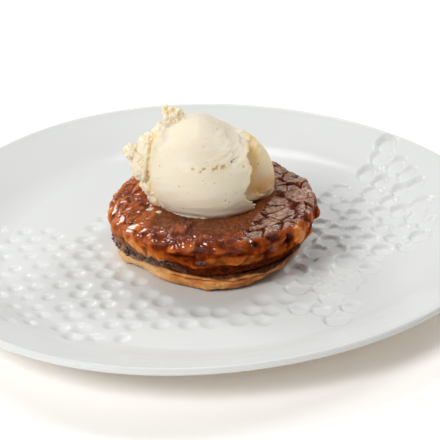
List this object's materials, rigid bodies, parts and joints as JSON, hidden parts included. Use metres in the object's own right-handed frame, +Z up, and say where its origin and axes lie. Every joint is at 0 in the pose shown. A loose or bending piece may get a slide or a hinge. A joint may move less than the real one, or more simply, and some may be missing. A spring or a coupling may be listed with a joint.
{
  "type": "tarte tatin with ice cream on a plate",
  "caption": "Small round upside-down caramelised apple tart on a shallow pastry base, topped with a rolled scoop of vanilla ice cream and served on a round white porcelain coupe plate.",
  "frame": {"origin": "on the table under the middle of the plate's outline", "axes": "+Z up, square to the plate's floor; -Y towards the side the dessert is served from; +X to its right, where the outer roll of ice cream tears off"},
  "size_m": [0.28, 0.28, 0.0819],
  "materials": {
    "porcelain": "white glaze, glossy",
    "pastry": "baked puff pastry, dry and flaky",
    "caramel_apple": "apple in amber caramel, sticky gloss",
    "ice_cream": "vanilla ice cream, soft sheen"
  },
  "bodies": {
    "root": {"plate": "porcelain", "pastry_base": "pastry", "apple_filling": "caramel_apple", "ice_cream": "ice_cream"}
  },
  "joints": []
}
